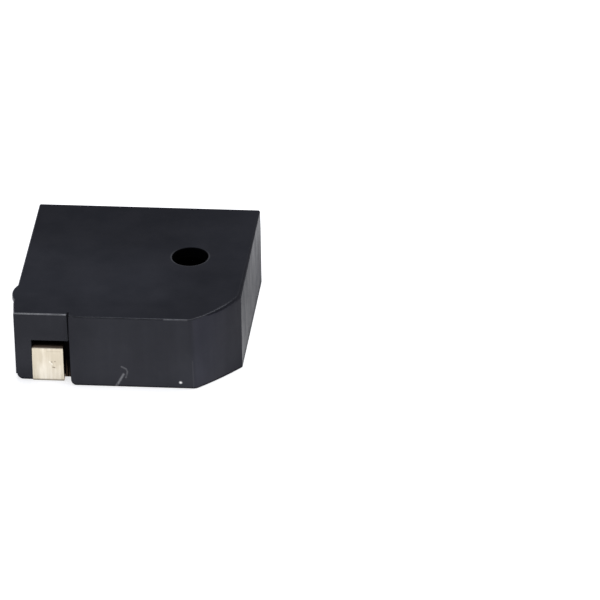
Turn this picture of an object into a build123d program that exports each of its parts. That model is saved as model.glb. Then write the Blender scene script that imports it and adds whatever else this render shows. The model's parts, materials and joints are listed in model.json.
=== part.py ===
from build123d import *
import os

os.makedirs("parts", exist_ok=True)

# A surface-mount magnetic buzzer. Millimetres, the pads rest on z = 0, the body is centred over the origin,
# +X is to the right and -Y is the front wall, which has the corner cut at its right end.

# Moulded body, from the pads' underside to the top face
body_width = 8.5
body_depth = 8.5
total_height = 3.0
pad_standoff = 0.02
wall_thickness = 0.5
roof_thickness = 0.4
floor_thickness = 0.28
upright_edge_radius = 0.08
top_edge_radius = 0.07
foot_edge_radius = 0.02
cut_overrun = 0.6

# Cut corner at the front right: almost flat at the foot, longer and bowed at the top
corner_cut_foot_x = 1.56
corner_cut_foot_y = 1.7
corner_cut_foot_bow = 0.05
corner_cut_top_x = 1.7
corner_cut_top_y = 1.98
corner_cut_top_bow = 0.2
corner_cut_radius = 0.3

# Drafted wall recesses at the terminals: the front one reaches the top face, the rear ones run out below it
recess_foot_depth = 0.36
front_recess_top_depth = 0.13
rear_runout_drop = 0.15
rear_left_step_gap = 0.46
rear_right_step_gap = 0.01
rear_step_run_share = 1.0
front_step_run_share = 0.0
step_slit_width = 0.085
step_slit_inset = 0.3

# Front left corner: eased side wall and rounded lower corners
corner_ease_depth = 0.125
corner_ease_length = 0.95
corner_foot_radius = 0.24
corner_foot_length = 1.3
step_foot_radius = 0.23

# Low stubs left on the left wall by the moulding gates
gate_stub_reach = 0.14
gate_stub_length = 1.05
cover_gate_height = 0.2
base_gate_height = 0.6
cover_gate_inset = 1.75
base_gate_inset = 4.5

# Terminals: one bent strip each, with an inner tab, a leg and a pad
strip_thickness = 0.15
bend_inner_radius = 0.02
foot_bend_radius = 0.08
leg_side_inset = 0.72
leg_width = 1.19
leg_face_inset = 0.28
tab_ledge_drop = 0.08
tab_length = 1.22
pad_length = 1.82
pad_width = 1.1
pad_clearance = 0.04
pad_corner_radius = 0.06
shoulder_inset = 0.3
ear_radius = 0.33
ear_reach = 0.12
ear_inset = 0.66
notch_gap = 0.3
notch_depth = 0.62

# Magnetic circuit, which fills the bore of the base
bore_clearance = 0.05
yoke_thickness = 0.4
yoke_edge_chamfer = 0.06
pin_hole_diameter = 1.0
pin_hole_x = 0.2
pin_hole_inset = 0.61
core_diameter = 1.4
core_spigot_diameter = 0.9
core_height = 0.72
core_edge_chamfer = 0.08
coil_clearance = 0.03
coil_turn_pitch = 0.06
coil_turn_rows = 9
coil_magnet_gap = 0.3
magnet_inset = 0.1
magnet_width = 1.0
magnet_height = 0.6
magnet_edge_chamfer = 0.08

# Diaphragm on its ledge, its weight, the rim that holds it down, and the sound hole
air_gap = 0.2
ledge_width = 0.25
seat_clearance = 0.05
diaphragm_thickness = 0.05
rim_height = 0.13
armature_diameter = 2.4
armature_thickness = 0.2
armature_edge_chamfer = 0.04
sound_hole_diameter = 1.36
sound_hole_side_inset = 2.25
sound_hole_y = 0.5
sound_hole_edge_radius = 0.04

# Ends of the winding and their solder joints
wire_diameter = 0.06
wire_clearance = 0.005
wire_bend_radius = 0.06
wire_lift = 0.11
wire_leave_inset = 0.2
wire_crest_inset = 0.05
channel_width = 0.4
joint_setback = 0.22
joint_clearance = 0.02
joint_radius = 0.2
joint_height = 0.16

# Plan, worked out from the walls inwards
half_width = body_width / 2
half_depth = body_depth / 2
seat_radius = min(half_width, half_depth) - wall_thickness
diaphragm_radius = seat_radius - seat_clearance
bore_radius = diaphragm_radius - ledge_width
yoke_radius = bore_radius - bore_clearance
magnet_radius = yoke_radius - magnet_inset
magnet_bore_radius = magnet_radius - magnet_width
coil_radius = magnet_bore_radius - coil_magnet_gap
pin_hole_y = yoke_radius - pin_hole_inset
sound_hole_x = half_width - sound_hole_side_inset
cover_gate_y = cover_gate_inset - half_depth
base_gate_y = base_gate_inset - half_depth
leg_outer_x = half_width - leg_side_inset
leg_inner_x = leg_outer_x - leg_width
leg_x = (leg_outer_x + leg_inner_x) / 2
notch_inner_x = leg_inner_x - notch_gap
leg_face_y = half_depth - leg_face_inset
notch_back_y = half_depth - notch_depth
tab_end_y = leg_face_y - tab_length
pad_end_y = leg_face_y - pad_length
shoulder_y = leg_face_y - shoulder_inset
joint_y = tab_end_y + joint_setback
joint_reach = joint_radius + joint_clearance

# Heights, worked out from the pads upwards
floor_top = pad_standoff + floor_thickness
yoke_top = floor_top + yoke_thickness
core_top = yoke_top + core_height
coil_top = yoke_top + coil_turn_pitch * coil_turn_rows
magnet_top = yoke_top + magnet_height
ledge_height = core_top + air_gap
diaphragm_top = ledge_height + diaphragm_thickness
parting_height = diaphragm_top + rim_height
tab_height = ledge_height - tab_ledge_drop
tab_underside = tab_height - strip_thickness
chamber_top = total_height - roof_thickness
rear_runout_height = total_height - rear_runout_drop
over_top = total_height + cut_overrun

# Each terminal: side in X, side in Y, and the sides of its pad that carry an ear (-1 inner, 1 outer)
terminals = {
    "coil_terminal_front": (-1, -1, (-1,)),
    "coil_terminal_rear": (-1, 1, (-1,)),
    "support_terminal": (1, 1, (-1, 1)),
}
coil_terminals = {"start": "coil_terminal_front", "finish": "coil_terminal_rear"}

# Each recess: side in X, side in Y, where its full depth ends, its depth at a height, and its step's run
recesses = [
    (-1, -1, notch_inner_x, front_recess_top_depth, total_height, front_step_run_share),
    (-1, 1, leg_inner_x - rear_left_step_gap, 0, rear_runout_height, rear_step_run_share),
    (1, 1, leg_inner_x - rear_right_step_gap, 0, rear_runout_height, rear_step_run_share),
]


def body_outline(level):
    """Square outline with its two rear corners rounded."""
    with BuildSketch(Plane.XY.offset(level)) as outline:
        Rectangle(body_width, body_depth)
        fillet(outline.vertices().group_by(Axis.Y)[-1], upright_edge_radius)
    return outline.sketch


def corner_ends(level):
    """Where the cut corner meets the front wall and the right wall at one height."""
    rise_share = level / total_height
    cut_x = corner_cut_foot_x + (corner_cut_top_x - corner_cut_foot_x) * rise_share
    cut_y = corner_cut_foot_y + (corner_cut_top_y - corner_cut_foot_y) * rise_share
    return Vector(half_width - cut_x, -half_depth), Vector(half_width, cut_y - half_depth)


def corner_waste(level):
    """Plan of what is cut off the front right corner at one height, bounded inside by a flat arc."""
    front_end, side_end = corner_ends(level)
    chord = side_end - front_end
    outward = Vector(chord.Y, -chord.X).normalized()
    bow = corner_cut_foot_bow + (corner_cut_top_bow - corner_cut_foot_bow) * level / total_height
    clear = Vector(cut_overrun, cut_overrun)
    with BuildSketch(Plane.XY.offset(level)) as waste:
        with BuildLine():
            ThreePointArc(front_end, (front_end + side_end) / 2 + outward * bow, side_end)
            Polyline(
                side_end,
                side_end + clear,
                (half_width + cut_overrun, -half_depth - cut_overrun),
                front_end - clear,
                front_end,
            )
        make_face()
    return waste.sketch


def upright_corner(piece, level):
    """Upright edge of a piece between its front wall and the cut corner, found at one height."""
    front_end = corner_ends(level)[0]
    return piece.edges().sort_by_distance((front_end.X, front_end.Y, level))[0]


def recess_section(level, x_side, y_side, full_depth_end, upper_depth, upper_height, run_share):
    """Plan of a wall recess at one height. It is deepest at the foot and dies out towards the top."""
    depth = recess_foot_depth + (upper_depth - recess_foot_depth) * level / upper_height
    reach = cut_overrun + recess_foot_depth
    with BuildSketch(Plane.XY.offset(level)) as section:
        with BuildLine():
            Polyline(
                (x_side * (half_width + cut_overrun), y_side * (half_depth - depth)),
                (x_side * full_depth_end, y_side * (half_depth - depth)),
                (x_side * (full_depth_end - (depth + reach) * run_share), y_side * (half_depth + reach)),
                (x_side * (half_width + cut_overrun), y_side * (half_depth + reach)),
                close=True,
            )
        make_face()
    return section.sketch


def ease_plan(level):
    """Plan of the wedge taken off the left wall beside the front left corner."""
    slope = corner_ease_depth / corner_ease_length
    with BuildSketch(Plane.XY.offset(level)) as plan:
        with BuildLine():
            Polyline(
                (-half_width, corner_ease_length - half_depth),
                (-half_width + corner_ease_depth + cut_overrun * slope, -half_depth - cut_overrun),
                (-half_width - cut_overrun, -half_depth - cut_overrun),
                (-half_width - cut_overrun, corner_ease_length - half_depth),
                close=True,
            )
        make_face()
    return plan.sketch


def gate_stub_plan(level, centre_y):
    """Plan of a low rounded stub on the left wall, rooted in the wall."""
    with BuildSketch(Plane.XY.offset(level)) as plan:
        with BuildLine():
            ThreePointArc(
                (-half_width, centre_y - gate_stub_length / 2),
                (-half_width - gate_stub_reach, centre_y),
                (-half_width, centre_y + gate_stub_length / 2),
            )
            Polyline(
                (-half_width, centre_y + gate_stub_length / 2),
                (-half_width + gate_stub_reach, centre_y),
                (-half_width, centre_y - gate_stub_length / 2),
            )
        make_face()
    return plan.sketch


def foot_rounding(corner_x, radius, start_y):
    """Waste below a rounded lower corner that runs along Y, seen from the front."""
    with BuildSketch(Plane.XZ.offset(-start_y)) as waste:
        with Locations((corner_x + (radius - cut_overrun) / 2, pad_standoff + (radius - cut_overrun) / 2)):
            Rectangle(radius + cut_overrun, radius + cut_overrun)
        with Locations((corner_x + radius, pad_standoff + radius)):
            Circle(radius, mode=Mode.SUBTRACT)
    return waste.sketch


def box_plan(level, x_side, y_side, x_range, y_range):
    """Rectangle between two distances from the middle in X and in Y, in the quarter given by the sides."""
    with BuildSketch(Plane.XY.offset(level)) as plan:
        with Locations((x_side * sum(x_range) / 2, y_side * sum(y_range) / 2)):
            Rectangle(x_range[1] - x_range[0], y_range[1] - y_range[0])
    return plan.sketch


def channel_plan(level, x_side, y_side):
    """Straight channel from the middle of the bore to a solder joint."""
    joint = Vector(x_side * leg_x, y_side * joint_y)
    with BuildSketch(Plane(origin=(0, 0, level), x_dir=joint)) as plan:
        Rectangle(joint.length, channel_width, align=(Align.MIN, Align.CENTER))
    return plan.sketch


def disc_plan(level, radius, bore=0, centre=(0, 0)):
    """Disc or ring at one height."""
    with BuildSketch(Plane.XY.offset(level)) as plan:
        with Locations(centre):
            Circle(radius)
            if bore:
                Circle(bore, mode=Mode.SUBTRACT)
    return plan.sketch


def pad_plan(level, x_side, y_side, ears, grow):
    """Plan of a solder pad with the ears beside its bend, grown all round for its pocket."""
    with BuildSketch(Plane.XY.offset(level)) as plan:
        with Locations((x_side * leg_x, y_side * (pad_end_y + shoulder_y) / 2)):
            Rectangle(pad_width + 2 * grow, shoulder_y - pad_end_y + 2 * grow)
        inner_corners = plan.vertices().sort_by_distance((x_side * leg_x, 0))[:2]
        fillet(inner_corners, pad_corner_radius)
        for ear in ears:
            ear_x = leg_x + ear * (pad_width / 2 + ear_reach - ear_radius)
            with Locations((x_side * ear_x, y_side * (leg_face_y - ear_inset))):
                Circle(ear_radius + grow)
    return plan.sketch


def strip_profile(x_side, y_side):
    """Side view of the bent strip: tab, upper bend, leg, lower bend and the pad's shoulder."""
    leg_back_y = leg_face_y - strip_thickness
    with BuildSketch(Plane.YZ.offset(x_side * leg_x)) as profile:
        with BuildLine():
            Polyline(
                (y_side * tab_end_y, tab_height),
                (y_side * leg_face_y, tab_height),
                (y_side * leg_face_y, 0),
                (y_side * shoulder_y, 0),
                (y_side * shoulder_y, strip_thickness),
                (y_side * leg_back_y, strip_thickness),
                (y_side * leg_back_y, tab_underside),
                (y_side * tab_end_y, tab_underside),
                close=True,
            )
        make_face()
        bends = [
            (leg_face_y, 0, foot_bend_radius),
            (leg_face_y, tab_height, bend_inner_radius + strip_thickness),
            (leg_back_y, tab_underside, bend_inner_radius),
        ]
        for bend_y, bend_z, radius in bends:
            fillet(profile.vertices().sort_by_distance((y_side * bend_y, bend_z))[0], radius)
    return profile.sketch


def save(piece, name):
    """Label a finished piece and write its file."""
    piece.part.label = name
    export_step(piece.part, f"parts/{name}.step")


# Base: recessed walls, notches for the legs, pockets for the pads, bore with a ledge for the diaphragm
with BuildPart() as base:
    extrude(body_outline(pad_standoff), amount=parting_height - pad_standoff)
    loft([corner_waste(0), corner_waste(over_top)], ruled=True, mode=Mode.SUBTRACT)
    fillet(upright_corner(base, parting_height / 2), corner_cut_radius)
    extrude(gate_stub_plan(pad_standoff, base_gate_y), amount=base_gate_height)
    fillet(base.faces().sort_by(Axis.Z)[0].edges(), foot_edge_radius)
    for recess in recesses:
        sections = [recess_section(0, *recess), recess_section(total_height, *recess)]
        loft(sections, ruled=True, mode=Mode.SUBTRACT)
    extrude(ease_plan(0), amount=total_height, mode=Mode.SUBTRACT)

    # Open notches in front of the wall where each strip comes out
    for x_side, y_side, ears in terminals.values():
        notch_room = (notch_back_y, half_depth + cut_overrun)
        notch = box_plan(0, x_side, y_side, (notch_inner_x, leg_outer_x), notch_room)
        extrude(notch, amount=parting_height, mode=Mode.SUBTRACT)
        tab = box_plan(tab_underside, x_side, y_side, (leg_inner_x, leg_outer_x), (tab_end_y, notch_back_y))
        extrude(tab, amount=strip_thickness, mode=Mode.SUBTRACT)
        pocket = pad_plan(0, x_side, y_side, ears, pad_clearance)
        extrude(pocket, amount=strip_thickness, mode=Mode.SUBTRACT)
    eased_corner_x = corner_ease_depth - half_width
    foot_waste = foot_rounding(eased_corner_x, corner_foot_radius, corner_foot_length - half_depth)
    extrude(foot_waste, amount=corner_foot_length + cut_overrun, mode=Mode.SUBTRACT)
    step_waste = foot_rounding(-notch_inner_x, step_foot_radius, -notch_back_y)
    extrude(step_waste, amount=notch_depth + cut_overrun, mode=Mode.SUBTRACT)

    # Bore, ledge, and at each coil terminal a pocket for its solder joint and a channel for the wire
    extrude(disc_plan(floor_top, bore_radius), amount=total_height, mode=Mode.SUBTRACT)
    extrude(disc_plan(ledge_height, seat_radius), amount=total_height, mode=Mode.SUBTRACT)
    for name in coil_terminals.values():
        x_side, y_side, ears = terminals[name]
        joint_room = (tab_end_y, joint_y + joint_reach)
        pocket = box_plan(tab_underside, x_side, y_side, (leg_inner_x, leg_outer_x), joint_room)
        extrude(pocket, amount=total_height, mode=Mode.SUBTRACT)
        extrude(channel_plan(tab_underside, x_side, y_side), amount=total_height, mode=Mode.SUBTRACT)
    for pin_y in (-pin_hole_y, pin_hole_y):
        pin_hole = disc_plan(0, pin_hole_diameter / 2, centre=(pin_hole_x, pin_y))
        extrude(pin_hole, amount=floor_top, mode=Mode.SUBTRACT)
save(base, "base")

# Cover: the same walls, a resonance chamber, a rim that holds the diaphragm down, and the sound hole
with BuildPart() as cover:
    extrude(body_outline(parting_height), amount=total_height - parting_height)
    loft([corner_waste(0), corner_waste(over_top)], ruled=True, mode=Mode.SUBTRACT)
    fillet(upright_corner(cover, (parting_height + total_height) / 2), corner_cut_radius)
    extrude(gate_stub_plan(total_height, cover_gate_y), amount=-cover_gate_height)
    for recess in recesses:
        sections = [recess_section(0, *recess), recess_section(over_top, *recess)]
        loft(sections, ruled=True, mode=Mode.SUBTRACT)
    extrude(ease_plan(0), amount=over_top, mode=Mode.SUBTRACT)
    fillet(cover.faces().sort_by(Axis.Z)[-1].edges(), top_edge_radius)
    slit_x = (notch_inner_x, notch_inner_x + step_slit_width)
    slit_y = (half_depth - step_slit_inset, half_depth + cut_overrun)
    extrude(box_plan(parting_height, -1, -1, slit_x, slit_y), amount=total_height, mode=Mode.SUBTRACT)
    extrude(disc_plan(diaphragm_top, diaphragm_radius), amount=rim_height)
    extrude(disc_plan(0, bore_radius), amount=chamber_top, mode=Mode.SUBTRACT)
    sound_hole = disc_plan(0, sound_hole_diameter / 2, centre=(sound_hole_x, sound_hole_y))
    extrude(sound_hole, amount=total_height, mode=Mode.SUBTRACT)
    hole_rim = cover.faces().sort_by(Axis.Z)[-1].edges().filter_by(GeomType.CIRCLE)
    fillet(hole_rim.sort_by_distance((sound_hole_x, sound_hole_y, total_height))[0], sound_hole_edge_radius)
save(cover, "cover")

# Terminals
for name, (x_side, y_side, ears) in terminals.items():
    with BuildPart() as terminal:
        extrude(strip_profile(x_side, y_side), amount=leg_width / 2, both=True)
        extrude(pad_plan(0, x_side, y_side, ears, 0), amount=strip_thickness)
    save(terminal, name)

# Yoke plate, with a hole for the pole's spigot
with BuildPart() as yoke_plate:
    extrude(disc_plan(floor_top, yoke_radius, core_spigot_diameter / 2), amount=yoke_thickness)
    chamfer(yoke_plate.edges().group_by(Axis.Z)[-1].sort_by(SortBy.RADIUS)[-1], yoke_edge_chamfer)
save(yoke_plate, "yoke_plate")

# Pole core: a shouldered pin, its spigot staked in the yoke plate
with BuildPart() as pole_core:
    extrude(disc_plan(yoke_top, core_diameter / 2), amount=core_height)
    chamfer(pole_core.edges().group_by(Axis.Z)[-1], core_edge_chamfer)
    extrude(disc_plan(floor_top, core_spigot_diameter / 2), amount=yoke_thickness)
save(pole_core, "pole_core")

# Winding: one solid whose outside shows the turns of its last layer
with BuildPart() as coil_winding:
    coil_bore_radius = core_diameter / 2 + coil_clearance
    layer_radius = coil_radius - coil_turn_pitch / 2
    with BuildSketch(Plane.XZ) as winding_section:
        with BuildLine():
            for row in range(coil_turn_rows):
                low = yoke_top + row * coil_turn_pitch
                Polyline(
                    (layer_radius, low),
                    (coil_radius, low + coil_turn_pitch / 2),
                    (layer_radius, low + coil_turn_pitch),
                )
            Polyline(
                (layer_radius, coil_top),
                (coil_bore_radius, coil_top),
                (coil_bore_radius, yoke_top),
                (layer_radius, yoke_top),
            )
        make_face()
    revolve(axis=Axis.Z)
save(coil_winding, "coil_winding")

# Ring magnet on the yoke plate
with BuildPart() as ring_magnet:
    extrude(disc_plan(yoke_top, magnet_radius, magnet_bore_radius), amount=magnet_height)
    chamfer(ring_magnet.edges().group_by(Axis.Z)[-1], magnet_edge_chamfer)
save(ring_magnet, "ring_magnet")

# Diaphragm on the ledge, and the weight fixed to its middle
with BuildPart() as diaphragm:
    extrude(disc_plan(ledge_height, diaphragm_radius), amount=diaphragm_thickness)
save(diaphragm, "diaphragm")

with BuildPart() as armature_disc:
    extrude(disc_plan(diaphragm_top, armature_diameter / 2), amount=armature_thickness)
    chamfer(armature_disc.edges().group_by(Axis.Z)[-1], armature_edge_chamfer)
save(armature_disc, "armature_disc")

# Each end of the winding leaves its top, rises over the magnet to the tab and ends under a drop of solder
wire_low = coil_top + wire_lift
wire_high = tab_height + wire_clearance + wire_diameter / 2
for end, name in coil_terminals.items():
    x_side, y_side, ears = terminals[name]
    joint = Vector(x_side * leg_x, y_side * joint_y)
    outward = joint.normalized()
    up = Vector(0, 0, 1)

    with BuildPart() as lead_wire:
        with BuildLine() as route:
            FilletPolyline(
                outward * (coil_radius - wire_leave_inset) + up * coil_top,
                outward * (coil_radius - wire_leave_inset) + up * wire_low,
                outward * (bore_radius - wire_crest_inset) + up * wire_high,
                joint + up * wire_high,
                radius=wire_bend_radius,
            )
        with BuildSketch(Plane(origin=route.line @ 0, z_dir=route.line % 0)):
            Circle(wire_diameter / 2)
        sweep()
    save(lead_wire, f"{end}_lead_wire")

    with BuildPart() as solder_joint:
        dome_radius = (joint_radius**2 + joint_height**2) / (2 * joint_height)
        with BuildSketch(Plane.XZ):
            with Locations((0, joint_height - dome_radius)):
                Circle(dome_radius)
            with Locations((0, -dome_radius)):
                Rectangle(2 * dome_radius, 2 * dome_radius, mode=Mode.SUBTRACT)
            with Locations((-dome_radius, 0)):
                Rectangle(2 * dome_radius, 2 * dome_radius, mode=Mode.SUBTRACT)
        revolve(axis=Axis.Z)
    drop = Pos(joint.X, joint.Y, tab_height) * solder_joint.part
    with BuildPart() as seated_joint:
        add(drop)
        add(lead_wire.part, mode=Mode.SUBTRACT)
    save(seated_joint, f"{end}_solder_joint")
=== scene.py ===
import bpy
import json
import math
from mathutils import Matrix, Vector

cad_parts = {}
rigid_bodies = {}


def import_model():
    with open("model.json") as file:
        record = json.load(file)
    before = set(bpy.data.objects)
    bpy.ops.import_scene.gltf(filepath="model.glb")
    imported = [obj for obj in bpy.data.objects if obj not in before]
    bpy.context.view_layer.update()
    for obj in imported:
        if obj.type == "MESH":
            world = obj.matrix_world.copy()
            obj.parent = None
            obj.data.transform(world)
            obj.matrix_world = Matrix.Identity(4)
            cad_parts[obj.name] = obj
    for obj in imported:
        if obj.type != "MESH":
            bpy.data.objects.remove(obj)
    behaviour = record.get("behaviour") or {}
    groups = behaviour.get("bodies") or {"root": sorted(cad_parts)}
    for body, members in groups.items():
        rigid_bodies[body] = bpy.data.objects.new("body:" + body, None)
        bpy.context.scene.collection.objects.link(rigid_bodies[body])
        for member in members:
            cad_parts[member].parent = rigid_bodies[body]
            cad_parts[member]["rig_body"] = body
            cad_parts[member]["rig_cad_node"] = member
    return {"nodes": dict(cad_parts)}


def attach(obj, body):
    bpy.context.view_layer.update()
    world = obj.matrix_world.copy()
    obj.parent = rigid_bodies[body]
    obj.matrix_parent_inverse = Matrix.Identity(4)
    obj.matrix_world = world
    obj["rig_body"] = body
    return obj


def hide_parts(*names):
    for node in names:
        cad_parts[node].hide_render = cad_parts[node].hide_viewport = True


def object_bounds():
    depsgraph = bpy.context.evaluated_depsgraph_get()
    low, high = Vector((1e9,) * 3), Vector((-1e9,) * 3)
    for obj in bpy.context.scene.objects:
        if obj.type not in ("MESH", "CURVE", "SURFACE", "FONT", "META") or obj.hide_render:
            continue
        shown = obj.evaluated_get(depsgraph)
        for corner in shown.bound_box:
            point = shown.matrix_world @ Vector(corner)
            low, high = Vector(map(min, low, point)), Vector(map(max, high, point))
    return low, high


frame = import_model()
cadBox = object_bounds()  # the CAD model's box, before any piece is added
nodes = frame["nodes"]
mm = 0.001
print("frame loaded:", len(nodes), "nodes")


# Small helpers for node materials
# Places and widths in the finishes' settings are in millimetres, and depths in metres
# A noise is given by its scale per millimetre, its detail and its roughness
# A ramp is given by its start and end, then the values there, if they aren't 0 and 1, or 1 and 0 to fade out

def newMaterial(name):
    material = bpy.data.materials.new(name)
    material.use_nodes = True
    return material, material.node_tree, material.node_tree.nodes["Principled BSDF"]


def setInputs(tree, node, inputs):  # links what comes from another node, and sets what is constant
    for key, value in inputs.items():
        if isinstance(value, bpy.types.NodeSocket):
            tree.links.new(value, node.inputs[key])
        else:
            node.inputs[key].default_value = value


def addNode(tree, kind, inputs, **settings):
    node = tree.nodes.new(kind)
    for key, value in settings.items():
        setattr(node, key, value)
    setInputs(tree, node, inputs)
    return node


def objectPoint(tree, stretch=(1, 1, 1)):  # object coordinates in millimetres, stretched along the axes
    coordinates = addNode(tree, "ShaderNodeTexCoord", {})
    scale = [s / mm for s in stretch]
    place = addNode(tree, "ShaderNodeMapping", {"Vector": coordinates.outputs["Object"], "Scale": scale})
    return place.outputs["Vector"]


def splitAxes(tree, vector):
    return addNode(tree, "ShaderNodeSeparateXYZ", {"Vector": vector}).outputs


def objectNormal(tree):
    return splitAxes(tree, addNode(tree, "ShaderNodeTexCoord", {}).outputs["Normal"])


def noise(tree, point, scale, detail=2.0, roughness=0.5):
    inputs = {"Vector": point, "Scale": scale, "Detail": detail, "Roughness": roughness}
    return addNode(tree, "ShaderNodeTexNoise", inputs).outputs[0]


def calculate(tree, operation, first, second=0.0, clamp=False):
    inputs = {0: first, 1: second}
    return addNode(tree, "ShaderNodeMath", inputs, operation=operation, use_clamp=clamp).outputs[0]


def chain(tree, operation, values):  # one operation over all the values in turn
    result = values[0]
    for value in values[1:]:
        result = calculate(tree, operation, result, value)
    return result


def product(tree, *values):
    return chain(tree, "MULTIPLY", values)


def total(tree, *values):
    return chain(tree, "ADD", values)


def largest(tree, *values):
    return chain(tree, "MAXIMUM", values)


def magnitude(tree, value):
    return calculate(tree, "ABSOLUTE", value)


def ramp(tree, value, start, end, startValue=0.0, endValue=1.0):
    inputs = {"Value": value, "From Min": start, "From Max": end, "To Min": startValue, "To Max": endValue}
    return addNode(tree, "ShaderNodeMapRange", inputs, interpolation_type="SMOOTHSTEP").outputs[0]


def fadeOut(tree, value, start, end):
    return ramp(tree, value, start, end, 1.0, 0.0)


def without(tree, mask):
    return fadeOut(tree, mask, 0.0, 1.0)


def band(tree, value, low, high, fade):  # 1 between two values, fading out beyond them
    return product(tree, ramp(tree, value, low - fade, low), fadeOut(tree, value, high, high + fade))


def blend(tree, first, second, share):  # a share of the first value and the rest of the second
    return total(tree, product(tree, first, share), product(tree, second, 1.0 - share))


def mixValues(tree, factor, first, second):
    return addNode(tree, "ShaderNodeMix", {0: factor, 2: first, 3: second}).outputs[0]


def mixColours(tree, factor, first, second):
    first, second = (c if isinstance(c, bpy.types.NodeSocket) else (*c, 1.0) for c in (first, second))
    return addNode(tree, "ShaderNodeMix", {0: factor, 6: first, 7: second}, data_type="RGBA").outputs[2]


def bump(tree, height, distance, strength, normal=None):
    inputs = {"Height": height, "Distance": distance, "Strength": strength}
    if normal is not None:
        inputs["Normal"] = normal
    return addNode(tree, "ShaderNodeBump", inputs).outputs["Normal"]


def strokeMask(tree, place, start, end, width):  # 1 on a straight stroke between two points in X and Z
    alongX, alongZ = end[0] - start[0], end[1] - start[1]
    lengthSquared = alongX ** 2 + alongZ ** 2
    fromX = calculate(tree, "SUBTRACT", place["X"], start[0])
    fromZ = calculate(tree, "SUBTRACT", place["Z"], start[1])
    dotX = product(tree, fromX, alongX / lengthSquared)
    dotZ = product(tree, fromZ, alongZ / lengthSquared)
    share = calculate(tree, "ADD", dotX, dotZ, clamp=True)
    offX = calculate(tree, "SUBTRACT", fromX, product(tree, share, alongX))
    offZ = calculate(tree, "SUBTRACT", fromZ, product(tree, share, alongZ))
    distance = calculate(tree, "SQRT", total(tree, product(tree, offX, offX), product(tree, offZ, offZ)))
    return fadeOut(tree, distance, 0.0, width)


# Black moulded plastic of the case, with the marks that the front wall carries, and painted shade,
# highlights and reflection tint

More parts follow.
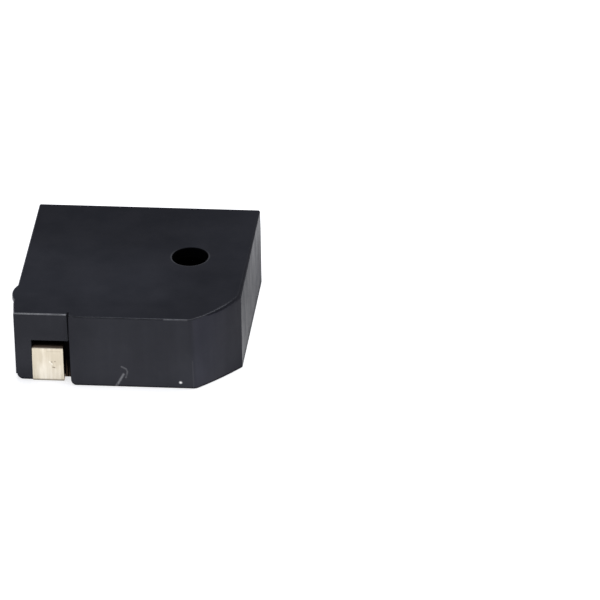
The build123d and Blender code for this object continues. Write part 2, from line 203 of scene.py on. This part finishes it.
housing = {
    "skin": {
        "colours": ((0.0075, 0.0078, 0.0098), (0.0125, 0.0125, 0.0150)),
        "mottle": (0.9, 4.0, 0.6),
        "mottleRamp": (0.3, 0.7),
        "grain": (26.0, 3.0, 0.6),
        "grainDepth": 0.0035 * mm,
        "grainStrength": 0.6,
    },
    "marks": {
        "wallRamp": (-4.22, -4.20),     # Y, they lie in front of it
        "scuff": ((-0.317, 0.061), (-0.032, 0.562)),
        "scuffWidth": 0.075,
        "hook": [(-0.101, 0.883), (0.062, 0.800), (0.105, 0.676), (0.085, 0.540), (0.043, 0.424)],
        "hookWidth": 0.06,
        "hookStrength": 0.45,
        "breaks": (9.0, 2.0),   # the noise that breaks scuff and hook up
        "breakRamp": (0.15, 0.5),
        # of the scratches, and of the painted highlight on the cut corner's edge
        "colour": (0.20, 0.20, 0.205),
        "depth": 0.01 * mm,
        "depthStrength": 0.5,
        "cornerHighlightStroke": ((2.60, 0.10), (2.59, 1.20)),     # painted highlight along the cut corner's upright edge
        "cornerHighlightWidth": 0.04,
        "cornerHighlightStrength": 0.08,
        "speck": ((2.107, 0.272), (2.117, 0.272)),  # a glinting grain
        "speckWidth": 0.085,
        "speckColour": (0.95, 0.94, 0.92),
    },
    "hole": {   # the sound hole's wall and far rim are painted dark as shade, and made dull
        "centre": (2.0, 0.52, 0.0),
        "wallRamp": (0.69, 0.71),       # distance from the centre, as the next two
        "ring": (0.71, 0.74),           # the painted highlight ring round the hole
        "clearRamp": (0.79, 0.84),      # where the top face's rim gets its painted highlight and burnish again
        "ringFade": 0.03,
        "nearRamp": (0.5, 1.2, 0.16, 0.0),  # Y, the ring's highlight is painted on its near side
        "coverRamp": (2.2, 2.4),        # Z, only the cover is marked, not the base below it
        # painted shade inside the sound hole
        "colour": (0.002, 0.002, 0.0025),
    },
    "notch": {  # the legs' notches get painted shade, with painted brown reflections of the strips low down
        "across": (2.0, 3.6),
        "depth": (3.5, 3.72),
        "fade": 0.03,
        "topRamp": (1.78, 1.80),
        "backRamp": (0.7, 0.9),         # its upright back wall, by the way it faces
        "cornerRamp": (-4.0, -3.0),     # Y less X, not at the cut corner
        "reflectionStretch": (16.0, 16.0, 0.5),
        "stripReflections": (1.0, 2.0),
        "reflectionRamp": (0.40, 0.62),
        "reflectionHeights": (0.15, 0.95),
        # painted shade, and the brown of the painted strip reflections
        "colours": ((0.003, 0.0024, 0.0024), (0.115, 0.075, 0.05)),
    },
    "rim": {    # of the top face, burnished, with a painted highlight along it
        "heightRamp": (2.80, 2.82),
        "wallSlopes": (0.15, 0.4),
        "topSlopes": (0.90, 0.98),
        "recessRamp": (-2.16, -2.13, 0.95, 0.12),   # X, the painted highlight is brightest above the recess
        "brightStretch": (1.60, 2.40),  # X, the brighter stretch of the front rim's painted highlight
        "brightFade": 0.12,
        "brightHighlight": 0.42,
        "frontRamp": (-3.9, -3.7, 1.0, 0.12),       # Y, the painted highlight is faintest behind the front
        "patches": (3.0, 3.0),
        "patchRamp": (0.25, 0.65, 0.55, 1.0),
        # colour of the painted highlights on the rim and round the hole
        "highlightColour": (0.24, 0.24, 0.245),
        "roughness": 0.24,
        "rightRamp": (4.0, 4.15),       # X, the right wall's rim is dull instead
        "rightRoughening": 0.15,
    },
    "shine": {
        "patches": (0.33, 3.0, 0.55),
        "patchRamp": (0.32, 0.68, 0.40, 0.31),      # patches of the skin shine a little less
        "topSlopes": (0.80, 0.95),
        "topBack": (-0.8, 2.3, 1.13, 0.58),     # Y, from the middle of the top face to its back
        "topFront": (-3.4, -2.2, 0.85, 1.0),
        "topRightRamp": (0.5, 3.0),
        "topRight": 0.73,
        "walls": (-3.0, 1.0, 0.80, 1.04),       # X, from the left end of the walls to the middle
        "corner": (2.6, 4.3, 1.0, 0.45),        # X, along the cut corner
        "height": (0.3, 2.2, 1.08, 0.94),       # Z, from the foot of the walls to their top
        "foot": (0.04, 0.10, 0.35, 1.0),        # Z, the lowest edge of the walls is dull
        "hollow": (0.0, 1.0, 1.0, 0.06),        # out of and in the hole and the notches
        "reflectionTints": ((0.83, 0.85, 1.0), (0.84, 0.85, 1.14)),   # painted blue in the reflections of the walls, and more of it on the cut corner
        "cornerReflectionTintRamp": (2.5, 2.8),
        "wallSlopes": (0.5, 0.8),
    },
    "roughness": {
        "streakStretch": (3.2, 3.2, 0.35),      # drawn along the walls by the mould
        "streaks": (1.0, 3.0),
        "mottleShare": 0.5,
        "sheenRamp": (0.3, 0.7, 0.42, 0.56),
        "foot": (0.04, 0.10, 0.35, 0.0),
    },
    "rightWall": {  # its sheen turns from the low front to the high back
        "facing": (0.8, 0.95),
        "middle": (0.5, 1.5),   # Y and Z
        "turn": -0.0225,
        "foot": (0.1, 0.45, 0.12, 0.025),
        "front": (-2.3, -1.2, -0.05, 0.0),
    },
}


def frontMarks(tree, point, place):  # masks of the scratches, the painted highlight on the cut corner's edge and the speck
    marks = housing["marks"]
    front = fadeOut(tree, place["Y"], *marks["wallRamp"])
    scuff = strokeMask(tree, place, *marks["scuff"], marks["scuffWidth"])
    strokes = zip(marks["hook"], marks["hook"][1:])
    hook = largest(tree, *[strokeMask(tree, place, *ends, marks["hookWidth"]) for ends in strokes])
    broken = ramp(tree, noise(tree, point, *marks["breaks"]), *marks["breakRamp"])
    scratches = largest(tree, scuff, product(tree, hook, marks["hookStrength"]))
    cornerHighlight = strokeMask(tree, place, *marks["cornerHighlightStroke"], marks["cornerHighlightWidth"])
    speck = strokeMask(tree, place, *marks["speck"], marks["speckWidth"])
    return (
        product(tree, scratches, broken, front),
        product(tree, cornerHighlight, front, marks["cornerHighlightStrength"]),
        product(tree, speck, front),
    )


def soundHole(tree, place):  # masks of the hole's wall, which is painted dark as shade, of its painted highlight ring and of what is clear of it
    hole = housing["hole"]
    flat = addNode(tree, "ShaderNodeCombineXYZ", {"X": place["X"], "Y": place["Y"]}).outputs[0]
    distance = addNode(tree, "ShaderNodeVectorMath", {0: flat, 1: hole["centre"]}, operation="DISTANCE")
    fromAxis = distance.outputs["Value"]
    inCover = ramp(tree, place["Z"], *hole["coverRamp"])
    holeShadeMask = product(tree, fadeOut(tree, fromAxis, *hole["wallRamp"]), inCover)
    nearSide = ramp(tree, place["Y"], *hole["nearRamp"])
    ring = product(tree, band(tree, fromAxis, *hole["ring"], hole["ringFade"]), nearSide, inCover)
    return holeShadeMask, ring, ramp(tree, fromAxis, *hole["clearRamp"])


def legNotchShade(tree, place, facing):  # mask and colour of the painted shade and painted strip reflections in the notches behind the legs
    notch = housing["notch"]
    notchShadeMask = product(
        tree,
        band(tree, magnitude(tree, place["X"]), *notch["across"], notch["fade"]),
        band(tree, magnitude(tree, place["Y"]), *notch["depth"], notch["fade"]),
        fadeOut(tree, place["Z"], *notch["topRamp"]),
        ramp(tree, magnitude(tree, facing["Y"]), *notch["backRamp"]),
        ramp(tree, calculate(tree, "SUBTRACT", place["Y"], place["X"]), *notch["cornerRamp"]),
    )
    stripReflections = noise(tree, objectPoint(tree, notch["reflectionStretch"]), *notch["stripReflections"])
    low = fadeOut(tree, place["Z"], *notch["reflectionHeights"])
    stripReflections = product(tree, ramp(tree, stripReflections, *notch["reflectionRamp"]), low)
    return notchShadeMask, mixColours(tree, stripReflections, *notch["colours"])


def topRim(tree, place, facing):
    rim = housing["rim"]
    turning = product(
        tree, ramp(tree, facing["Z"], *rim["wallSlopes"]), fadeOut(tree, facing["Z"], *rim["topSlopes"])
    )
    return product(tree, turning, ramp(tree, place["Z"], *rim["heightRamp"]))


def rimHighlight(tree, point, place):
    rim = housing["rim"]
    bright = band(tree, place["X"], *rim["brightStretch"], rim["brightFade"])
    bright = product(tree, bright, rim["brightHighlight"])
    highlightStrength = largest(tree, ramp(tree, place["X"], *rim["recessRamp"]), bright)
    patches = ramp(tree, noise(tree, point, *rim["patches"]), *rim["patchRamp"])
    return product(tree, highlightStrength, ramp(tree, place["Y"], *rim["frontRamp"]), patches)


def housingShine(tree, point, place, slope, inHollow):
    shine = housing["shine"]
    gloss = ramp(tree, noise(tree, point, *shine["patches"]), *shine["patchRamp"])
    top = product(
        tree, ramp(tree, place["Y"], *shine["topBack"]), ramp(tree, place["Y"], *shine["topFront"])
    )
    top = mixValues(tree, ramp(tree, place["X"], *shine["topRightRamp"]), top, shine["topRight"])
    walls = product(
        tree,
        ramp(tree, place["X"], *shine["walls"]),
        ramp(tree, place["X"], *shine["corner"]),
        ramp(tree, place["Z"], *shine["height"]),
    )
    byFace = mixValues(tree, ramp(tree, slope, *shine["topSlopes"]), walls, top)
    hollow = ramp(tree, inHollow, *shine["hollow"])
    return product(tree, gloss, byFace, hollow, ramp(tree, place["Z"], *shine["foot"]))


def paintedReflectionTint(tree, place, slope):
    shine = housing["shine"]
    onCorner = ramp(tree, place["X"], *shine["cornerReflectionTintRamp"])
    onCorner = product(tree, onCorner, fadeOut(tree, slope, *shine["wallSlopes"]))
    return mixColours(tree, onCorner, *shine["reflectionTints"])


def rightWallDulling(tree, place, facing):
    wall = housing["rightWall"]
    fromY = calculate(tree, "SUBTRACT", place["Y"], wall["middle"][0])
    fromZ = calculate(tree, "SUBTRACT", place["Z"], wall["middle"][1])
    turned = product(tree, fromY, fromZ, wall["turn"])
    foot = ramp(tree, place["Z"], *wall["foot"])
    dull = total(tree, turned, foot, ramp(tree, place["Y"], *wall["front"]))
    return product(tree, ramp(tree, facing["X"], *wall["facing"]), dull)


def housingRoughness(tree, mottle, place, facing, rim, clearOfHole):
    finish = housing["roughness"]
    streaks = noise(tree, objectPoint(tree, finish["streakStretch"]), *finish["streaks"])
    sheen = blend(tree, mottle, streaks, finish["mottleShare"])
    onRightRim = ramp(tree, place["X"], *housing["rim"]["rightRamp"])
    rough = total(
        tree,
        ramp(tree, sheen, *finish["sheenRamp"]),
        ramp(tree, place["Z"], *finish["foot"]),
        rightWallDulling(tree, place, facing),
        product(tree, rim, onRightRim, housing["rim"]["rightRoughening"]),
    )
    burnish = product(tree, rim, clearOfHole, without(tree, onRightRim))
    return mixValues(tree, burnish, rough, housing["rim"]["roughness"])


def housingPlastic():
    material, tree, shader = newMaterial("blackMouldedPlastic")
    skin, marks = housing["skin"], housing["marks"]
    point = objectPoint(tree)
    place, facing = splitAxes(tree, point), objectNormal(tree)
    mottle = noise(tree, point, *skin["mottle"])
    scratches, cornerHighlight, speck = frontMarks(tree, point, place)
    holeShadeMask, holeHighlight, clearOfHole = soundHole(tree, place)
    notchShadeMask, notchShadeColour = legNotchShade(tree, place, facing)
    rim = topRim(tree, place, facing)
    # painted highlights along the top rim and round the sound hole
    paintedHighlights = largest(tree, product(tree, rim, rimHighlight(tree, point, place), clearOfHole), holeHighlight)

    colour = mixColours(tree, ramp(tree, mottle, *skin["mottleRamp"]), *skin["colours"])
    for mask, markColour in (
        # the scratches and the painted corner highlight share one light grey
        (largest(tree, scratches, cornerHighlight), marks["colour"]),
        (speck, marks["speckColour"]),
        (holeShadeMask, housing["hole"]["colour"]),
        (notchShadeMask, notchShadeColour),
        (paintedHighlights, housing["rim"]["highlightColour"]),
    ):
        colour = mixColours(tree, mask, colour, markColour)

    grained = bump(tree, noise(tree, point, *skin["grain"]), skin["grainDepth"], skin["grainStrength"])
    setInputs(tree, shader, {
        "Base Color": colour,
        "Specular IOR Level": housingShine(tree, point, place, facing["Z"], largest(tree, holeShadeMask, notchShadeMask)),
        "Specular Tint": paintedReflectionTint(tree, place, facing["Z"]),
        "Metallic": speck,
        "Roughness": housingRoughness(tree, mottle, place, facing, rim, clearOfHole),
        "Normal": bump(tree, scratches, marks["depth"], marks["depthStrength"], grained),
    })
    return material


# Tin-plated strip of the terminals, with bare copper alloy on the sheared edges, and painted shade on the
# legs and bends

tinStrip = {
    "edgeBreak": 0.03 * mm,     # width of the broken edges
    "plateColours": ((0.91, 0.85, 0.735), (0.65, 0.58, 0.455)),
    "streakStretch": (13.0, 13.0, 0.7),
    "streaks": (1.0, 3.0, 0.6),
    "clouds": (1.6, 3.0),
    "streakShare": 0.7,
    "toneRamp": (0.38, 0.62),
    "toneShare": 0.48,          # of the plating's shade, the rest is painted shade that grows with how far off a leg's middle it lies
    "plateMiddle": 2.98,        # distance of the legs' brighter middle from the part's middle, away from which shade is painted
    "sideShadeRamp": (0.08, 0.50),
    "upperShadeRamp": (0.25, 1.2, 0.0, 0.6),     # Z, painted shade darkens the plating towards the upper bend
    "frontLegRamp": (-3.92, -3.90),         # Y, the front leg's marks lie in front of it
    "pitScale": 2.6,            # of the pits, which the front leg doesn't have
    "pitRamp": (0.03, 0.1),
    "pitStrength": 0.7,
    "pitDepth": 0.8,
    "stainColour": (0.30, 0.24, 0.18),
    "grains": (11.0, 4.0, 0.75),    # dark grains in the plating of the pads and of the rear legs
    "grainRamp": (0.52, 0.66),
    "graininess": (0.0, 1.0, 0.75, 0.0),    # off and on the front leg
    "grainColour": (0.30, 0.265, 0.215),
    "rubs": [((-2.872, 0.842), (-2.850, 0.815)), ((-2.800, 0.765), (-2.775, 0.735))],
    "rubStrength": 0.6,
    "brightColour": (0.98, 0.95, 0.87),
    "nicks": [  # start, end and strength of the dark marks on the front leg
        ((-2.752, 0.609), (-2.682, 0.597), 0.95),
        ((-2.79, 0.84), (-2.78, 0.83), 0.8),
        ((-2.67, 0.85), (-2.66, 0.86), 0.9),
        ((-2.95, 1.29), (-2.45, 1.29), 0.22),
    ],
    "nickWidth": 0.045,         # of nicks and rubs
    "footShadeRamp": (0.039, 0.13, 0.9, 0.0),    # Z, the painted shade line at the foot
    "footShadeDepthRamp": (-3.77, -3.75),
    "footShadeColour": (0.13, 0.11, 0.08),
    "bendShadeRamp": (1.40, 1.46, 0.0, 0.92),    # Z, where the bend turns brown with painted shade
    "bendShadeColour": (0.155, 0.10, 0.06),
    "shearedRamp": (0.75, 0.95),            # how squarely a sheared edge faces sideways
    "padEndRamp": (2.3, 2.4),               # the pads' inner ends are sheared within this Y
    "bareColour": (0.33, 0.20, 0.13),
    "roughRamp": (0.3, 0.7, 0.26, 0.44),
    "stipple": (24.0, 3.0, 0.6),
    "stippleDepth": 0.003 * mm,
    "stippleStrength": 0.6,
}


# the plating's random tone, with painted shade towards the legs' sides and the upper bend
def plateShade(tree, place, tone):
    offMiddle = calculate(tree, "SUBTRACT", magnitude(tree, place["X"]), tinStrip["plateMiddle"])
    sideShade = ramp(tree, magnitude(tree, offMiddle), *tinStrip["sideShadeRamp"])
    shade = blend(tree, ramp(tree, tone, *tinStrip["toneRamp"]), sideShade, tinStrip["toneShare"])
    return calculate(tree, "ADD", shade, ramp(tree, place["Z"], *tinStrip["upperShadeRamp"]), clamp=True)


def shearedEdges(tree, place):
    facing = objectNormal(tree)
    side = ramp(tree, magnitude(tree, facing["X"]), *tinStrip["shearedRamp"])
    endFace = ramp(tree, magnitude(tree, facing["Y"]), *tinStrip["shearedRamp"])
    padEnd = fadeOut(tree, magnitude(tree, place["Y"]), *tinStrip["padEndRamp"])
    return largest(tree, side, product(tree, endFace, padEnd))


def tinPlate():
    material, tree, shader = newMaterial("tinPlatedStrip")
    point = objectPoint(tree)
    place = splitAxes(tree, point)
    streaks = noise(tree, objectPoint(tree, tinStrip["streakStretch"]), *tinStrip["streaks"])
    tone = blend(tree, streaks, noise(tree, point, *tinStrip["clouds"]), tinStrip["streakShare"])

    onLeg = fadeOut(tree, place["Y"], *tinStrip["frontLegRamp"])
    cells = addNode(tree, "ShaderNodeTexVoronoi", {"Vector": point, "Scale": tinStrip["pitScale"]})
    pits = fadeOut(tree, cells.outputs["Distance"], *tinStrip["pitRamp"])
    pits = product(tree, pits, without(tree, onLeg))
    grains = ramp(tree, noise(tree, point, *tinStrip["grains"]), *tinStrip["grainRamp"])
    grains = product(tree, grains, ramp(tree, onLeg, *tinStrip["graininess"]))
    # painted shade line at the foot of the front leg
    foot = ramp(tree, place["Z"], *tinStrip["footShadeRamp"])
    foot = product(tree, foot, fadeOut(tree, place["Y"], *tinStrip["footShadeDepthRamp"]))

    layers = [(product(tree, pits, tinStrip["pitStrength"]), "stainColour"), (grains, "grainColour")]
    rubs = [(start, end, tinStrip["rubStrength"]) for start, end in tinStrip["rubs"]]
    for strokes, colourName in ((rubs, "brightColour"), (tinStrip["nicks"], "stainColour")):
        for start, end, strength in strokes:
            stroke = strokeMask(tree, place, start, end, tinStrip["nickWidth"])
            layers.append((product(tree, stroke, onLeg, strength), colourName))
    layers += [
        (foot, "footShadeColour"),
        (ramp(tree, place["Z"], *tinStrip["bendShadeRamp"]), "bendShadeColour"),
        (shearedEdges(tree, place), "bareColour"),
    ]
    colour = mixColours(tree, plateShade(tree, place, tone), *tinStrip["plateColours"])
    for mask, colourName in layers:
        colour = mixColours(tree, mask, colour, tinStrip[colourName])

    stipple = noise(tree, point, *tinStrip["stipple"])
    raised = calculate(tree, "SUBTRACT", stipple, product(tree, pits, tinStrip["pitDepth"]))
    setInputs(tree, shader, {
        "Base Color": colour,
        "Metallic": 1.0,
        "Roughness": ramp(tree, tone, *tinStrip["roughRamp"]),
        "Normal": bump(tree, raised, tinStrip["stippleDepth"], tinStrip["stippleStrength"]),
    })
    return material


# Metals of the pieces inside

metalSkin = {   # what all of them share
    "grainDetail": (3.0, 0.6),
    "clouds": (1.3, 3.0),
    "grainShare": 0.5,
    "toneRamp": (0.35, 0.65),
    "roughRamp": (0.3, 0.7),
    "grainStrength": 0.6,
}
innerMetals = {
    "dullYokeSteel": {
        "nodes": ["yoke_plate"],
        "colours": ((0.66, 0.62, 0.55), (0.36, 0.33, 0.29)), "roughness": (0.36, 0.52),
        "stretch": (1, 1, 1), "grainScale": 9.0, "grainDepth": 0.006 * mm,
    },
    "turnedSoftIron": {
        "nodes": ["pole_core", "armature_disc"],
        "colours": ((0.52, 0.51, 0.50), (0.40, 0.39, 0.38)), "roughness": (0.30, 0.45),
        "stretch": (1, 1, 8), "grainScale": 4.0, "grainDepth": 0.003 * mm,
    },
    "enamelledCopper": {
        "nodes": ["coil_winding", "start_lead_wire", "finish_lead_wire"],
        "colours": ((0.62, 0.24, 0.09), (0.45, 0.15, 0.06)), "roughness": (0.18, 0.34),
        "stretch": (1, 1, 12), "grainScale": 3.0, "grainDepth": 0.002 * mm,
    },
    "sinteredMagnet": {
        "nodes": ["ring_magnet"],
        "colours": ((0.10, 0.10, 0.105), (0.05, 0.05, 0.055)), "roughness": (0.50, 0.72),
        "stretch": (1, 1, 1), "grainScale": 14.0, "grainDepth": 0.006 * mm,
    },
    "rolledSpringSteel": {
        "nodes": ["diaphragm"],
        "colours": ((0.62, 0.62, 0.61), (0.50, 0.50, 0.49)), "roughness": (0.20, 0.34),
        "stretch": (0.4, 6, 1), "grainScale": 3.0, "grainDepth": 0.002 * mm,
    },
    "brightSolder": {
        "nodes": ["start_solder_joint", "finish_solder_joint"],
        "colours": ((0.72, 0.72, 0.73), (0.60, 0.60, 0.61)), "roughness": (0.14, 0.30),
        "stretch": (1, 1, 1), "grainScale": 6.0, "grainDepth": 0.003 * mm,
    },
}


def workedMetal(name, metal):
    material, tree, shader = newMaterial(name)
    stretched = objectPoint(tree, metal["stretch"])
    grain = noise(tree, stretched, metal["grainScale"], *metalSkin["grainDetail"])
    clouds = noise(tree, objectPoint(tree), *metalSkin["clouds"])
    tone = blend(tree, grain, clouds, metalSkin["grainShare"])
    setInputs(tree, shader, {
        "Base Color": mixColours(tree, ramp(tree, tone, *metalSkin["toneRamp"]), *metal["colours"]),
        "Metallic": 1.0,
        "Roughness": ramp(tree, tone, *metalSkin["roughRamp"], *metal["roughness"]),
        "Normal": bump(tree, grain, metal["grainDepth"], metalSkin["grainStrength"]),
    })
    return material


# The cover's top rim is rounder at the end of the cut corner and thins out again along the right wall

coverRim = {
    "radius": 0.07 * mm,    # of the rim elsewhere
    "depthSlack": 1.01,     # the rim reaches this many radii below the top face
    "swell": 2.5,           # how many times rounder it gets
    "cutFrom": 2.9 * mm,    # X where the rim of the cut corner starts to swell
    "cutTo": 3.7 * mm,
    "turnFrom": -2.60 * mm,     # Y where the rim turns from the cut corner to the right wall
    "turnTo": -2.27 * mm,
    "rightX": 4.17 * mm,    # the right wall's rim lies outside this X
    "endY": 4.17 * mm,
}


def smoothShare(value, low, high):
    share = min(max((value - low) / (high - low), 0.0), 1.0)
    return share * share * (3.0 - 2.0 * share)


def swellRim(mesh):
    radius, turnTo, endY = coverRim["radius"], coverRim["turnTo"], coverRim["endY"]
    for vertex in mesh.vertices:
        x, y, z = vertex.co
        depth = cadBox[1].z - z
        onCut = y < turnTo and x > coverRim["cutFrom"]
        onRight = turnTo <= y < endY and x > coverRim["rightX"]
        if depth > coverRim["depthSlack"] * radius or not (onCut or onRight):
            continue
        share = smoothShare(x, coverRim["cutFrom"], coverRim["cutTo"]) if onCut else 1.0
        share *= min((endY - y) / (endY - turnTo), 1.0)
        outward = Vector((x, y, 0)).normalized()  # the cut corner is bowed about the middle of the part
        outward = outward.lerp(Vector((1, 0, 0)), smoothShare(y, coverRim["turnFrom"], turnTo)).normalized()
        inset = radius - math.sqrt(max(radius ** 2 - max(radius - depth, 0.0) ** 2, 0.0))
        vertex.co -= (outward * inset + Vector((0, 0, depth))) * share * (coverRim["swell"] - 1.0)


# The shells and strips are merged copies of their solids with clean shading, and the strips get broken edges

copying = {
    "weld": 0.00005 * mm,
    "flatAngle": math.radians(0.4),     # faces this close to flat become one
    "sharpAngle": math.radians(32),
    "breakSegments": 2,
    "breakProfile": 0.5,
}
cutEdge = {"x": 4.25 * mm, "slack": 0.002 * mm, "fromY": -2.60 * mm, "toY": -2.20 * mm}


def onCutEdge(point):  # the blunt upright edge where the cut corner meets the right wall
    onWall = abs(point.x - cutEdge["x"]) < cutEdge["slack"]
    return onWall and cutEdge["fromY"] < point.y < cutEdge["toY"]


def cleanCopy(nodeName, pieceName, edgeBreak=None):
    bpy.ops.object.select_all(action="DESELECT")
    bpy.context.view_layer.objects.active = nodes[nodeName]
    nodes[nodeName].select_set(True)
    bpy.ops.object.duplicate()
    piece = bpy.context.active_object
    piece.name = piece.data.name = pieceName
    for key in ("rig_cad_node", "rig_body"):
        del piece[key]
    bpy.ops.mesh.customdata_custom_splitnormals_clear()
    bpy.ops.object.mode_set(mode="EDIT")
    bpy.ops.mesh.select_mode(type="EDGE")
    bpy.ops.mesh.select_all(action="SELECT")
    bpy.ops.mesh.remove_doubles(threshold=copying["weld"])
    bpy.ops.mesh.dissolve_limited(angle_limit=copying["flatAngle"])
    if edgeBreak:
        bpy.ops.mesh.select_all(action="DESELECT")
        bpy.ops.mesh.edges_select_sharp(sharpness=copying["sharpAngle"])
        bpy.ops.mesh.bevel(
            offset=edgeBreak,
            segments=copying["breakSegments"],
            profile=copying["breakProfile"],
            clamp_overlap=True,
        )
    bpy.ops.object.mode_set(mode="OBJECT")
    for edge in piece.data.edges:
        if all(onCutEdge(piece.data.vertices[v].co) for v in edge.vertices):
            edge.use_edge_sharp = True
    if nodeName == "cover":
        swellRim(piece.data)
    bpy.ops.object.shade_smooth_by_angle(angle=copying["sharpAngle"])
    weighted = piece.modifiers.new("flatFaces", "WEIGHTED_NORMAL")
    weighted.keep_sharp = True
    bpy.ops.object.modifier_apply(modifier=weighted.name)
    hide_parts(nodeName)
    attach(piece, "root")
    print(pieceName, "made:", len(piece.data.polygons), "faces")
    return piece


shells = {"cover": "coverShell", "base": "baseShell"}
strips = {
    "coil_terminal_front": "frontStrip",
    "coil_terminal_rear": "rearStrip",
    "support_terminal": "supportStrip",
}
finishes = {}
plastic = housingPlastic()
tin = tinPlate()
for nodeName, pieceName in shells.items():
    finishes[cleanCopy(nodeName, pieceName)] = plastic
for nodeName, pieceName in strips.items():
    finishes[cleanCopy(nodeName, pieceName, tinStrip["edgeBreak"])] = tin
for name, metal in innerMetals.items():
    metalFinish = workedMetal(name, metal)
    for nodeName in metal["nodes"]:
        finishes[nodes[nodeName]] = metalFinish
for piece, material in finishes.items():
    piece.data.materials.clear()
    piece.data.materials.append(material)
print("materials assigned:", len(finishes))


# Lit table, soft boxes and surroundings

studio = {
    "floorSize": 1.2,
    "floorColour": (0.86, 0.86, 0.86, 1.0),
    "floorRoughness": 0.9,
    "floorShine": 0.1,
    "glowColour": (1.0, 1.0, 1.0, 1.0),
    "floorGlow": 0.72,
    "surroundings": (0.225, 0.238, 0.286, 1.0),
    "boxes": {  # place, size and power of each soft box, which looks at the part
        "overheadBox": ((0.0, 0.03, 0.34), 0.14, 0.38),
        "cornerBox": ((0.17, 0.125, 0.36), 0.16, 0.35),
        "leftFill": ((-0.30, -0.16, 0.12), 0.16, 0.10),
    },
}
bpy.ops.object.select_all(action="DESELECT")
bpy.ops.mesh.primitive_plane_add(size=studio["floorSize"])
floor = bpy.context.active_object
floor.name = "studioFloor"
floorMaterial, floorTree, floorShader = newMaterial("paleTable")
setInputs(floorTree, floorShader, {
    "Base Color": studio["floorColour"],
    "Roughness": studio["floorRoughness"],
    "Specular IOR Level": studio["floorShine"],
    "Emission Color": studio["glowColour"],
    "Emission Strength": studio["floorGlow"],
})
floor.data.materials.append(floorMaterial)

for name, (place, size, power) in studio["boxes"].items():
    bpy.ops.object.light_add(type="AREA", location=place)
    softBox = bpy.context.active_object
    softBox.name = name
    softBox.data.shape = "SQUARE"
    softBox.data.size = size
    softBox.data.energy = power
    softBox.rotation_mode = "QUATERNION"
    softBox.rotation_quaternion = (-Vector(place)).to_track_quat("-Z", "Y")

world = bpy.data.worlds.new("softSurroundings")
bpy.context.scene.world = world
world.use_nodes = True
world.node_tree.nodes["Background"].inputs["Color"].default_value = studio["surroundings"]
bpy.context.scene.view_settings.view_transform = "Standard"
print("studio ready")


# Camera at the photograph's viewing angle

cameraView = {
    "azimuth": 8.297,           # degrees, from the front towards the right
    "elevation": 29.912,
    "roll": -2.473,
    "focalPixels": 9551.0,      # at the image width below
    "imagePixels": 600.0,
    "partPixel": (137.55, 296.10),  # where the middle of the part falls in the image
    "pixelsPerMetre": 26393.0,
    "sensorWidth": 36.0,
    "clip": (0.001, 10.0),
}
azimuth, elevation, roll = (math.radians(cameraView[key]) for key in ("azimuth", "elevation", "roll"))
focal, half = cameraView["focalPixels"], cameraView["imagePixels"] / 2
pixelX, pixelY = cameraView["partPixel"]
middle = Vector((0, 0, cadBox[1].z / 2))
back = Vector((
    math.sin(azimuth) * math.cos(elevation),
    -math.cos(azimuth) * math.cos(elevation),
    math.sin(elevation),
))
level = Vector((0, 0, 1)).cross(back).normalized()
upright = back.cross(level)
right = level * math.cos(roll) + upright * math.sin(roll)
up = upright * math.cos(roll) - level * math.sin(roll)
aim = (right * (half - pixelX) + up * (pixelY - half)) / focal  # off the part, so that it falls on its pixel
backward = (back - aim).normalized()
sideways = up.cross(backward).normalized()
turn = Matrix((sideways, backward.cross(sideways), backward)).transposed()
bpy.ops.object.camera_add(location=middle + back * focal / cameraView["pixelsPerMetre"])
camera = bpy.context.active_object
camera.rotation_mode = "QUATERNION"
camera.rotation_quaternion = turn.to_quaternion()
camera.data.sensor_width = cameraView["sensorWidth"]
camera.data.lens = focal / cameraView["imagePixels"] * cameraView["sensorWidth"]
camera.data.clip_start, camera.data.clip_end = cameraView["clip"]
bpy.context.scene.camera = camera
print("camera set")
